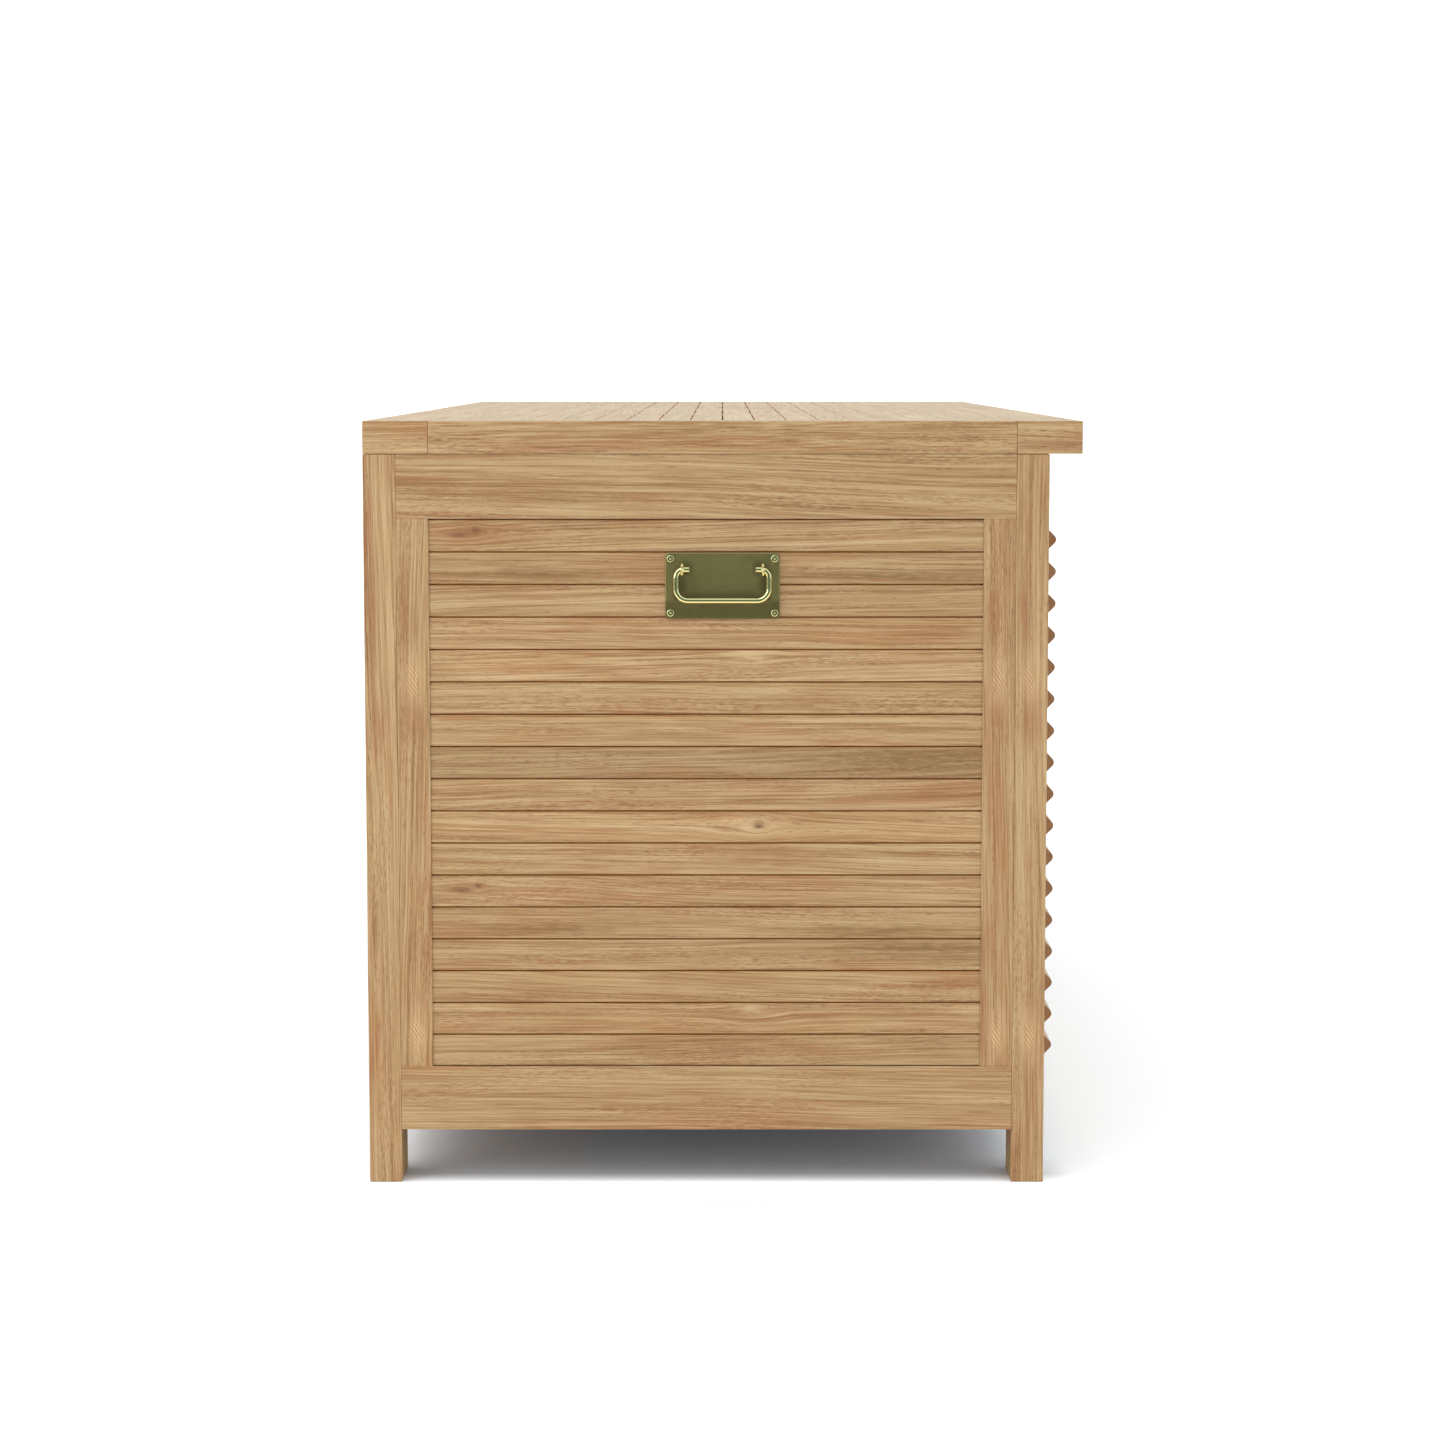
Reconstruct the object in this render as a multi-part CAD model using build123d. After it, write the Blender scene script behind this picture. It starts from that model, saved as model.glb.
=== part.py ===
# Deck storage box in teak: framed body on four legs, louvred front, grooved slat
# panels at the back and ends, slatted floor, framed lid on butt hinges with two
# slotted stays, and a brass campaign handle on each end.
#
# Frame: X runs along the box, the louvred front faces -Y, +Z is up. The origin is
# under the middle of the whole object, on the ground. "left" is the -X end.
# Everything is in millimetres.

from build123d import *
from math import cos, sin, radians, hypot, sqrt
import os

# ---------------------------------------------------------------- driving sizes

length = 1580.0            # lid and body, along X
lid_depth = 660.0          # lid, front to back
front_overhang = 30.0      # lid past the front face of the legs
height = 710.0             # ground to lid top
lid_thickness = 30.0
lid_gap = 0.4              # between lid and body

frame_width = 60.0         # visible width of legs (long side), rails and muntins
frame_thickness = 30.0     # thickness of every framed board
stile_width = 30.0         # inner stiles of the end panels
foot_height = 50.0         # bottom rail above the ground
bay_count = 4

slat_pitch = 30.0
slat_gap = 1.2
slat_thickness = 18.0
slat_recess = 1.5          # panel slats behind the face of their frame
slat_chamfer = 0.6         # eased edges beside each gap
tongue_depth = 5.0
tongue_thickness = 6.0
tongue_play = 0.2
slat_end_housing = 8.0     # slat ends let into the frame
housing_play = 0.2
panel_slat_count = 17
lid_slat_count = 18

blade_width = 31.2
blade_thickness = 12.0
blade_nose_radius = 5.0
blade_slope = 45.0
blade_reach = 14.4         # sharp corner of a blade in front of the legs
blade_end_gap = 0.2

floor_bearer = 30.0
floor_bearer_bottom = 60.0
floor_slat_width = 60.0
floor_slat_thickness = 12.0
floor_slat_gap = 10.0
floor_slat_count = 8
floor_end_gap = 2.0

hinge_radius = 5.0
hinge_wall_gap = 0.5       # knuckle to the back face
hinge_length = 75.0
hinge_leaf_depth = 24.0
hinge_leaf_thickness = 2.0
hinge_leaf_gap = 0.4
hinge_knuckles = 5
hinge_knuckle_gap = 0.3
hinge_pin_radius = 2.5
hinge_play = 0.05
hinge_places = (-570.0, 0.0, 570.0)

stay_radius = 203.0        # hinge axis to the stay's two pivots
stay_lid_drop = 14.0       # lid pivot below the hinge axis
stay_post_drop = 34.5      # box pivot below the hinge axis
stay_open_angle = 100.0
stay_arm_width = 14.0
stay_arm_thickness = 3.0
stay_wall_gap = 6.0        # arm to the inner face of the end rail
stay_shank_radius = 2.5
stay_slot_play = 0.3
stay_rivet_radius = 3.0
stay_play = 0.05

plate_width = 105.4
plate_height = 61.0
plate_thickness = 2.5
plate_corner = 4.0
plate_chamfer = 0.8
plate_bottom = 528.5
bail_rod_radius = 2.5
bail_half_width = 42.7     # centre line of the bail's sides
bail_drop = 28.5           # pivot to the centre of the grip
bail_standoff = 9.0        # pivot in front of the plate
bail_top_radius = 7.3
bail_bottom_radius = 11.0
bail_tip = 30.5            # rod ends, either side of the middle
eye_spread = 37.0
eye_radius = 6.4
eye_thickness = 2.6
eye_hole_radius = 3.5
eye_bevel = 0.9
pivot_height = 574.4
handle_screw_radius = 3.4
handle_screw_x = 47.9
handle_screw_z = 25.0

# ------------------------------------------------------------- sizes that follow

hinge_reach = hinge_wall_gap + 2 * hinge_radius
lid_front = -(lid_depth + hinge_reach) / 2
back_face = lid_front + lid_depth
front_face = lid_front + front_overhang
lid_middle = lid_front + lid_depth / 2
end_face = length / 2
leg_inner = end_face - frame_width
lid_bottom = height - lid_thickness
body_top = lid_bottom - lid_gap
bottom_rail_top = foot_height + frame_width
top_rail_bottom = bottom_rail_top + panel_slat_count * slat_pitch + slat_gap / 2
slat_width = slat_pitch - slat_gap
bay_length = (length - 2 * frame_width - (bay_count - 1) * frame_width) / bay_count
bays = [(-leg_inner + i * (bay_length + frame_width),
         -leg_inner + i * (bay_length + frame_width) + bay_length) for i in range(bay_count)]
muntins = [(bays[i][1], bays[i + 1][0]) for i in range(bay_count - 1)]
inner_front = front_face + frame_thickness
inner_back = back_face - frame_thickness
inner_end = end_face - frame_thickness
panel_slat_bottoms = [bottom_rail_top + slat_gap / 2 + i * slat_pitch for i in range(panel_slat_count)]
tongue_slot_top = panel_slat_bottoms[-1] + slat_width + tongue_depth + tongue_play
groove_near = slat_recess - housing_play
groove_far = slat_recess + slat_thickness + housing_play
hinge_y = back_face + hinge_wall_gap + hinge_radius
hinge_z = lid_bottom - lid_gap / 2
plate_middle_z = plate_bottom + plate_height / 2
plate_back = end_face - slat_recess
plate_front = plate_back + plate_thickness
pivot_x = plate_front + bail_standoff

# ----------------------------------------------------------------------- helpers


def block(x_pair, y_pair, z_pair):
    """A board between two places along each axis, given in any order."""
    low = [min(pair) for pair in (x_pair, y_pair, z_pair)]
    high = [max(pair) for pair in (x_pair, y_pair, z_pair)]
    size = [b - a for a, b in zip(low, high)]
    middle = [(a + b) / 2 for a, b in zip(low, high)]
    return Pos(*middle) * Box(*size)


def prism(points, run):
    """The closed outline through points, run along a vector."""
    face = make_face(Polyline(*points, close=True))
    vector = Vector(*run)
    return extrude(face, amount=vector.length, dir=vector.normalized())


def rod_x(x_pair, y, z, radius):
    """A round bar along X."""
    x0, x1 = min(x_pair), max(x_pair)
    return Pos((x0 + x1) / 2, y, z) * Rot(0, 90, 0) * Cylinder(radius, x1 - x0)


def rod_z(x, y, z_pair, radius):
    """A round bar along Z."""
    z0, z1 = min(z_pair), max(z_pair)
    return Pos(x, y, (z0 + z1) / 2) * Cylinder(radius, z1 - z0)


def write(name, pieces):
    """One STEP file for one node, from one solid or a list of them."""
    pieces = pieces if isinstance(pieces, list) else [pieces]
    solids = [solid for piece in pieces for solid in piece.solids()]
    shape = solids[0] if len(solids) == 1 else Compound(solids)
    export_step(shape, os.path.join("parts", name + ".step"))


# ------------------------------------------------------------ slats and blades


def slat_outline(tongue, groove):
    """Tongue-and-groove slat as (across, depth) points, depth 0 on the show face.

    A slat with no groove has a lip there that closes the gap to the frame.
    """
    near = (slat_thickness - tongue_thickness) / 2
    far = near + tongue_thickness
    points = [(slat_chamfer, 0), (slat_width - slat_chamfer, 0), (slat_width, slat_chamfer)]
    if tongue:
        points += [(slat_width, near), (slat_width + tongue_depth, near),
                   (slat_width + tongue_depth, far), (slat_width, far)]
    points += [(slat_width, slat_thickness)]
    if groove:
        bed = tongue_depth + tongue_play - slat_gap + tongue_play
        points += [(0, slat_thickness), (0, far + tongue_play), (bed, far + tongue_play),
                   (bed, near - tongue_play), (0, near - tongue_play)]
    else:
        points += [(-slat_gap / 2, slat_thickness), (-slat_gap / 2, near), (0, near)]
    points += [(0, slat_chamfer)]
    return points


def end_slats(side):
    """The slats of one end panel, running across the box."""
    y0 = inner_front + stile_width - slat_end_housing
    y1 = inner_back - stile_width + slat_end_housing
    show = end_face - slat_recess
    slats = []
    for i, bottom in enumerate(panel_slat_bottoms):
        outline = slat_outline(True, i > 0)
        points = [(side * (show - depth), y0, bottom + across) for across, depth in outline]
        slats.append(prism(points, (0, y1 - y0, 0)))
    return slats


def back_slats(bay):
    """The slats of one bay of the back panel."""
    x0 = bay[0] - slat_end_housing
    x1 = bay[1] + slat_end_housing
    show = back_face - slat_recess
    slats = []
    for i, bottom in enumerate(panel_slat_bottoms):
        outline = slat_outline(True, i > 0)
        points = [(x0, show - depth, bottom + across) for across, depth in outline]
        slats.append(prism(points, (x1 - x0, 0, 0)))
    return slats


def lid_slats(bay):
    """The slats of one bay of the lid, flush with its top and running along the box."""
    x0 = bay[0] - slat_end_housing
    x1 = bay[1] + slat_end_housing
    first = lid_front + frame_width + slat_gap / 2
    slats = []
    for i in range(lid_slat_count):
        outline = slat_outline(i < lid_slat_count - 1, i > 0)
        start = first + i * slat_pitch
        points = [(x0, start + across, height - depth) for across, depth in outline]
        slats.append(prism(points, (x1 - x0, 0, 0)))
    return slats


def louvre_blades(bay):
    """Sloping blades of one bay of the front, outer edge low, with rounded noses."""
    slope = radians(blade_slope)
    half_w = blade_width / 2
    half_t = blade_thickness / 2
    centre_out = blade_reach - (half_w + half_t) * cos(slope)
    drop = (half_w + half_t) * sin(slope)
    first = bottom_rail_top + drop

    def place(along, above):
        """(along the blade towards its nose, above its mid plane) as (out, up)."""
        out = along * cos(slope) + above * sin(slope)
        up = -along * sin(slope) + above * cos(slope)
        return out, up

    nose = blade_nose_radius
    bulge = nose * (1 - sqrt(0.5))
    marks = {
        "inner_low": place(-half_w, -half_t),
        "inner_high": place(-half_w, half_t),
        "nose_start": place(half_w - nose, half_t),
        "nose_middle": place(half_w - bulge, half_t - bulge),
        "nose_end": place(half_w, half_t - nose),
        "outer_low": place(half_w, -half_t),
    }
    x0 = bay[0] + blade_end_gap
    x1 = bay[1] - blade_end_gap
    blades = []
    for i in range(panel_slat_count):
        at = {key: (x0, front_face - centre_out - out, first + i * slat_pitch + up)
              for key, (out, up) in marks.items()}
        edges = [Polyline(at["nose_end"], at["outer_low"], at["inner_low"],
                          at["inner_high"], at["nose_start"]),
                 ThreePointArc(at["nose_start"], at["nose_middle"], at["nose_end"])]
        face = make_face(edges)
        blades.append(extrude(face, amount=x1 - x0, dir=(1, 0, 0)))
    return blades


# ------------------------------------------------------------------------- body


def leg(side, face_y, housed):
    """A leg; the back ones are grooved for the ends of the back slats."""
    inward = 1 if face_y < 0 else -1
    board = block((side * end_face, side * leg_inner), (face_y, face_y + inward * frame_thickness),
                  (0, body_top))
    if housed:
        board -= block((side * leg_inner, side * (leg_inner + slat_end_housing + housing_play)),
                       (back_face - groove_near, back_face - groove_far),
                       (bottom_rail_top, tongue_slot_top))
    return board


def tongue_slot(show, inward):
    """Where the top slat's tongue enters the rail above, measured from the show face."""
    near = (slat_thickness - tongue_thickness) / 2 - tongue_play
    far = near + tongue_thickness + 2 * tongue_play
    return show + inward * near, show + inward * far


def end_rail(side, z_pair, grooved):
    """Rail between the legs at one end."""
    rail = block((side * end_face, side * inner_end), (inner_front, inner_back), z_pair)
    if grooved:
        slot = tongue_slot(end_face - slat_recess, -1)
        rail -= block((side * slot[0], side * slot[1]),
                      (inner_front + stile_width - slat_end_housing - tongue_play,
                       inner_back - stile_width + slat_end_housing + tongue_play),
                      (top_rail_bottom, tongue_slot_top))
    return rail


def end_stile(side, leg_y, inward):
    """Inner stile beside a leg, grooved for the slat ends."""
    y_far = leg_y + inward * stile_width
    stile = block((side * end_face, side * inner_end), (leg_y, y_far),
                  (bottom_rail_top, top_rail_bottom))
    stile -= block((side * (end_face - groove_near), side * (end_face - groove_far)),
                   (y_far, y_far - inward * (slat_end_housing + housing_play)),
                   (bottom_rail_top, top_rail_bottom))
    return stile


def long_rail(y_pair, z_pair):
    """Rail between the legs along the front or the back."""
    return block((-leg_inner, leg_inner), y_pair, z_pair)


def back_top_rail():
    """Grooved underneath for the top slats and mortised on top for the hinges."""
    rail = long_rail((inner_back, back_face), (top_rail_bottom, body_top))
    slot = tongue_slot(back_face - slat_recess, -1)
    for bay in bays:
        rail -= block((max(bay[0] - slat_end_housing - tongue_play, -leg_inner),
                       min(bay[1] + slat_end_housing + tongue_play, leg_inner)),
                      slot, (top_rail_bottom, tongue_slot_top))
    for x in hinge_places:
        rail -= leaf_mortise(x, -1)
    return rail


def back_muntin(x_pair):
    """Upright of the back panel, grooved on both sides."""
    board = block(x_pair, (inner_back, back_face), (bottom_rail_top, top_rail_bottom))
    y_pair = (back_face - groove_near, back_face - groove_far)
    deep = slat_end_housing + housing_play
    for edge, inward in ((x_pair[0], 1), (x_pair[1], -1)):
        board -= block((edge, edge + inward * deep), y_pair, (bottom_rail_top, top_rail_bottom))
    return board


def front_muntin(x_pair):
    """Plain upright of the louvred front."""
    return block(x_pair, (front_face, inner_front), (bottom_rail_top, top_rail_bottom))


# ------------------------------------------------------------------------ floor


def floor_bearers():
    """Cross bearers between the front and back bottom rails."""
    end_place = inner_end - floor_bearer / 2
    places = [-end_place] + [(a + b) / 2 for a, b in muntins] + [end_place]
    half = floor_bearer / 2
    return [block((x - half, x + half), (inner_front, inner_back),
                  (floor_bearer_bottom, floor_bearer_bottom + floor_bearer)) for x in places]


def floor_slats():
    """Long slats lying on the bearers."""
    z0 = floor_bearer_bottom + floor_bearer
    field = floor_slat_count * (floor_slat_width + floor_slat_gap) - floor_slat_gap
    start = (inner_front + inner_back) / 2 - field / 2
    x_end = inner_end - floor_end_gap
    slats = []
    for i in range(floor_slat_count):
        y0 = start + i * (floor_slat_width + floor_slat_gap)
        slats.append(block((-x_end, x_end), (y0, y0 + floor_slat_width),
                           (z0, z0 + floor_slat_thickness)))
    return slats


# -------------------------------------------------------------------------- lid


def lid_long_rail(y_outer, inward):
    """Full-length rail of the lid; the back one is mortised for the hinges."""
    rail = block((-end_face, end_face), (y_outer, y_outer + inward * frame_width),
                 (lid_bottom, height))
    if inward < 0:
        for x in hinge_places:
            rail -= leaf_mortise(x, 1)
    return rail


def lid_cross_board(x_pair, grooved_edges):
    """End rail or cross rail between the lid's long rails, grooved for slat ends."""
    y_pair = (lid_front + frame_width, back_face - frame_width)
    board = block(x_pair, y_pair, (lid_bottom, height))
    deep = slat_end_housing + housing_play
    for edge, inward in grooved_edges:
        cut = block((edge, edge + inward * deep), y_pair,
                    (height, height - slat_thickness - housing_play))
        board -= cut
    return board


# ---------------------------------------------------------------------- hinges

leaf_near = hinge_leaf_gap / 2
leaf_far = leaf_near + hinge_leaf_thickness
mortise_play = 0.1
hinge_screw_hole = 2.2
hinge_screw_head = 4.0
hinge_screw_shank = 1.9
hinge_screw_length = 18.0


def leaf_mortise(x, up):
    """Pocket for a hinge leaf, in the rail below (up -1) or the lid above (up 1)."""
    half = hinge_length / 2 + mortise_play
    return block((x - half, x + half),
                 (back_face - hinge_leaf_depth - mortise_play, back_face + 1),
                 (hinge_z, hinge_z + up * leaf_far))


def hinge_screw_places(x):
    """Four screw centres of one leaf."""
    offsets = (-28.0, -10.0, 10.0, 28.0)
    depths = (8.0, 16.0, 16.0, 8.0)
    return [(x + dx, back_face - dy) for dx, dy in zip(offsets, depths)]


def hinge_leaf(x, up, own):
    """One leaf with its knuckles; own lists which fifths of the barrel it carries."""
    step = hinge_length / hinge_knuckles
    start = x - hinge_length / 2
    z_pair = (hinge_z + up * leaf_near, hinge_z + up * leaf_far)
    leaf = block((start, start + hinge_length), (back_face - hinge_leaf_depth, back_face), z_pair)
    for i in own:
        span = (start + i * step + hinge_knuckle_gap / 2, start + (i + 1) * step - hinge_knuckle_gap / 2)
        leaf += block(span, (back_face - 1, hinge_y), z_pair)
        leaf += rod_x(span, hinge_y, hinge_z, hinge_radius)
    leaf -= rod_x((start - 1, start + hinge_length + 1), hinge_y, hinge_z,
                  hinge_pin_radius + hinge_play)
    for sx, sy in hinge_screw_places(x):
        leaf -= rod_z(sx, sy, (hinge_z, hinge_z + up * 2 * leaf_far), hinge_screw_hole)
        leaf -= countersunk(sx, sy, up, 0.1)
    return leaf


def countersunk(x, y, up, play):
    """Head of a hinge screw, wide at the meeting faces of the leaves."""
    wide = hinge_screw_head + play
    deep = hinge_leaf_thickness
    cone = Cone(hinge_screw_shank + play, wide, deep - 0.2)
    if up > 0:
        cone = Rot(180, 0, 0) * cone
    return Pos(x, y, hinge_z + up * (leaf_near + (deep - 0.2) / 2)) * cone


def hinge_screw(x, y, up):
    """Countersunk wood screw through a leaf."""
    shank = rod_z(x, y, (hinge_z + up * (leaf_near + 0.4), hinge_z + up * hinge_screw_length),
                  hinge_screw_shank)
    return countersunk(x, y, up, 0.0) + shank


def hinge_pin(x):
    """Pin with a small domed finial at each end."""
    reach = hinge_length / 2
    pin = rod_x((x - reach, x + reach), hinge_y, hinge_z, hinge_pin_radius)
    for side in (-1, 1):
        cap = rod_x((x + side * (reach + 0.1), x + side * (reach + 2.1)), hinge_y, hinge_z, 3.6)
        neck = rod_x((x + side * (reach - 1), x + side * (reach + 1)), hinge_y, hinge_z,
                     hinge_pin_radius)
        pin += neck + cap
    return pin


# ----------------------------------------------------------------------- stays

stay_rise = sqrt(stay_radius ** 2 - stay_lid_drop ** 2)
stay_lid_y = hinge_y - stay_rise
stay_lid_z = hinge_z - stay_lid_drop
stay_post_y = hinge_y - sqrt(stay_radius ** 2 - stay_post_drop ** 2)
stay_post_z = hinge_z - stay_post_drop
stay_arm_outer = inner_end - stay_wall_gap
stay_arm_inner = stay_arm_outer - stay_arm_thickness


def stay_reach(opening):
    """Distance between the two pivots with the lid open by so many degrees."""
    lid_y = stay_lid_y - hinge_y
    lid_z = stay_lid_z - hinge_z
    turn = radians(opening)
    y = lid_y * cos(turn) + lid_z * sin(turn)
    z = -lid_y * sin(turn) + lid_z * cos(turn)
    return hypot(y - (stay_post_y - hinge_y), z - (stay_post_z - hinge_z))


def stay_arm(side):
    """Flat slotted arm hanging from the lid pivot, with the post in its slot."""
    closed = stay_reach(0)
    opened = stay_reach(stay_open_angle)
    slot_half = stay_shank_radius + stay_slot_play
    slot_start = closed - slot_half
    slot_end = opened + slot_half
    tail = slot_end + stay_arm_width / 2
    down = Vector(0, stay_post_y - stay_lid_y, stay_post_z - stay_lid_z).normalized()
    plane = Plane(origin=(side * stay_arm_inner, stay_lid_y, stay_lid_z), x_dir=down,
                  z_dir=(side, 0, 0))
    arm_length = tail + stay_arm_width / 2
    outline = Pos(tail / 2 - stay_arm_width / 4, 0) * SlotOverall(arm_length, stay_arm_width)
    outline -= Circle(stay_rivet_radius + stay_play)
    outline -= Pos((slot_start + slot_end) / 2, 0) * SlotOverall(slot_end - slot_start, 2 * slot_half)
    return extrude(plane * outline, amount=stay_arm_thickness)


def stay_bracket(side):
    """Angle bracket under the lid with the rivet that the arm swings on."""
    tab_gap = 0.6
    tab_thickness = 3.0
    tab_radius = 8.0
    foot_half = 22.0
    foot_inner = 734.0
    foot_thickness = 2.0
    head_radius = 5.0
    head_thickness = 1.8
    head_gap = 0.3
    tab_inner = stay_arm_outer + tab_gap
    tab_outer = tab_inner + tab_thickness
    foot = block((side * foot_inner, side * tab_outer),
                 (stay_lid_y - foot_half, stay_lid_y + foot_half),
                 (lid_bottom, lid_bottom - foot_thickness))
    tab = block((side * tab_inner, side * tab_outer),
                (stay_lid_y - tab_radius, stay_lid_y + tab_radius), (stay_lid_z, lid_bottom))
    tab += rod_x((side * tab_inner, side * tab_outer), stay_lid_y, stay_lid_z, tab_radius)
    rivet = rod_x((side * (stay_arm_inner - head_gap), side * tab_outer), stay_lid_y, stay_lid_z,
                  stay_rivet_radius)
    head = rod_x((side * (stay_arm_inner - head_gap), side * (stay_arm_inner - head_gap - head_thickness)),
                 stay_lid_y, stay_lid_z, head_radius)
    return foot + tab + rivet + head


def stay_post(side):
    """Shoulder post on the end rail: the arm slides along its shank."""
    boss_radius = 4.5
    boss_gap = 0.8
    head_radius = 5.2
    head_thickness = 2.0
    shank_inner = stay_arm_inner - boss_gap
    boss = rod_x((side * inner_end, side * (stay_arm_outer + boss_gap)), stay_post_y, stay_post_z,
                 boss_radius)
    shank = rod_x((side * (stay_arm_outer + boss_gap), side * shank_inner), stay_post_y, stay_post_z,
                  stay_shank_radius)
    head = rod_x((side * shank_inner, side * (shank_inner - head_thickness)), stay_post_y,
                 stay_post_z, head_radius)
    return boss + shank + head


# --------------------------------------------------------------------- handles


def handle_plate(side):
    """Back plate lying on the slats, with a bevelled rim."""
    plane = Plane(origin=(side * plate_back, lid_middle, plate_middle_z), x_dir=(0, 1, 0),
                  z_dir=(side, 0, 0))
    plate = extrude(plane * RectangleRounded(plate_width, plate_height, plate_corner),
                    amount=plate_thickness)
    rim = plate.faces().sort_by(Axis.X)[-1 if side > 0 else 0].edges()
    return chamfer(rim, plate_chamfer)


def handle_screw(side, dy, dz):
    """Round head with a shallow hollow crown."""
    head_height = 1.6
    crown_radius = 1.7
    crown_depth = 0.7
    y = lid_middle + dy
    z = plate_middle_z + dz
    head = rod_x((side * plate_front, side * (plate_front + head_height)), y, z, handle_screw_radius)
    rim = head.faces().sort_by(Axis.X)[-1 if side > 0 else 0].edges()
    head = fillet(rim, 1.1)
    return head - rod_x((side * (plate_front + head_height - crown_depth),
                         side * (plate_front + head_height + 1)), y, z, crown_radius)


def eye_post(side, dy):
    """Bevelled eye on a short foot; the bail's rod end turns in it."""
    y = lid_middle + dy
    half = eye_thickness / 2
    eye = Pos(side * pivot_x, y, pivot_height) * Rot(90, 0, 0) * Cylinder(eye_radius, eye_thickness)
    eye = chamfer(eye.edges().filter_by(GeomType.CIRCLE), eye_bevel)
    foot = block((side * plate_front, side * (pivot_x - eye_hole_radius)), (y - half, y + half),
                 (pivot_height - 3.0, pivot_height + 3.0))
    eye += foot
    return eye - Pos(side * pivot_x, y, pivot_height) * Rot(90, 0, 0) * Cylinder(
        eye_hole_radius, 3 * eye_thickness)


def bail(side):
    """Round rod bent into a hanging grip, its ends turned inwards through the eyes."""
    low = pivot_height - bail_drop
    x = side * pivot_x
    corners = [(-bail_tip, pivot_height), (-bail_half_width, pivot_height), (-bail_half_width, low),
               (bail_half_width, low), (bail_half_width, pivot_height), (bail_tip, pivot_height)]
    path = FilletPolyline(*[(x, lid_middle + y, z) for y, z in corners],
                          radius=[bail_top_radius, bail_bottom_radius,
                                  bail_bottom_radius, bail_top_radius])
    start = Plane(origin=path @ 0, z_dir=path % 0)
    return sweep(start * Circle(bail_rod_radius), path=path)


# ----------------------------------------------------------------- write it all

os.makedirs("parts", exist_ok=True)
sides = (("left", -1), ("right", 1))

for name, side in sides:
    write("leg_front_" + name, leg(side, front_face, False))
    write("leg_back_" + name, leg(side, back_face, True))
    write("end_top_rail_" + name, end_rail(side, (top_rail_bottom, body_top), True))
    write("end_bottom_rail_" + name, end_rail(side, (foot_height, bottom_rail_top), False))
    write("end_stile_front_" + name, end_stile(side, inner_front, 1))
    write("end_stile_back_" + name, end_stile(side, inner_back, -1))
    write("end_slats_" + name, end_slats(side))
    write("lid_end_rail_" + name, lid_cross_board((side * leg_inner, side * end_face),
                                                  [(side * leg_inner, side)]))
    write("stay_arm_" + name, stay_arm(side))
    write("handle_plate_" + name, handle_plate(side))
    write("handle_bail_" + name, bail(side))

write("front_top_rail", long_rail((front_face, inner_front), (top_rail_bottom, body_top)))
write("front_bottom_rail", long_rail((front_face, inner_front), (foot_height, bottom_rail_top)))
write("back_top_rail", back_top_rail())
write("back_bottom_rail", long_rail((inner_back, back_face), (foot_height, bottom_rail_top)))

for i, pair in enumerate(muntins, 1):
    write(f"front_muntin_{i}", front_muntin(pair))
    write(f"back_muntin_{i}", back_muntin(pair))
    write(f"lid_cross_rail_{i}", lid_cross_board(pair, [(pair[0], 1), (pair[1], -1)]))

for i, bay in enumerate(bays, 1):
    write(f"front_louvres_bay_{i}", louvre_blades(bay))
    write(f"back_slats_bay_{i}", back_slats(bay))
    write(f"lid_slats_bay_{i}", lid_slats(bay))

write("floor_bearers", floor_bearers())
write("floor_slats", floor_slats())
write("lid_front_rail", lid_long_rail(lid_front, 1))
write("lid_back_rail", lid_long_rail(back_face, -1))

write("hinge_box_leaves", [hinge_leaf(x, -1, (0, 2, 4)) for x in hinge_places])
write("hinge_lid_leaves", [hinge_leaf(x, 1, (1, 3)) for x in hinge_places])
write("hinge_pins", [hinge_pin(x) for x in hinge_places])
for name, up in (("box", -1), ("lid", 1)):
    write(f"hinge_screws_{name}",
          [hinge_screw(sx, sy, up) for x in hinge_places for sx, sy in hinge_screw_places(x)])

write("stay_brackets", [stay_bracket(side) for _, side in sides])
write("stay_posts", [stay_post(side) for _, side in sides])
write("handle_eye_posts", [eye_post(side, dy) for _, side in sides
                           for dy in (-eye_spread, eye_spread)])
write("handle_screws", [handle_screw(side, dy, dz) for _, side in sides
                        for dy in (-handle_screw_x, handle_screw_x)
                        for dz in (-handle_screw_z, handle_screw_z)])
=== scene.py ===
# Looks for the teak deck storage box: studio, camera, procedural teak and brass.
# Metres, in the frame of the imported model: X along the box, the louvred front
# faces -Y, +Z up.
from math import cos, pi, radians, sin

import bmesh
import bpy
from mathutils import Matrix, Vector


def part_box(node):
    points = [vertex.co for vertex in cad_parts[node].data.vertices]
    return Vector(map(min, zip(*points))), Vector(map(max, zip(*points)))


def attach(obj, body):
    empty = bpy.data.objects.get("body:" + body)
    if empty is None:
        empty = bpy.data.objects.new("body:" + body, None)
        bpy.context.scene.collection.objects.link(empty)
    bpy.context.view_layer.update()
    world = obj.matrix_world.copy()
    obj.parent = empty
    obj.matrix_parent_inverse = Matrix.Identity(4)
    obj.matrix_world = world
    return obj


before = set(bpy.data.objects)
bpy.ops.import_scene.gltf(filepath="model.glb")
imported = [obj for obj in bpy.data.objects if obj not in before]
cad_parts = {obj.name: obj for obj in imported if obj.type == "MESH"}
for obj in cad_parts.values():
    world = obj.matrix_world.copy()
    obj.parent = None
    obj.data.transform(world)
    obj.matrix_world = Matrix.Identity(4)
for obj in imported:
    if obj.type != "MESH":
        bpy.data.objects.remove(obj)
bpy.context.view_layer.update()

MM = 0.001
SLAT_PITCH = 30 * MM
SLAT_COUNT = 17                            # in an end panel
LID_RAIL = 60 * MM                         # width of the lid's long rails

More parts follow.
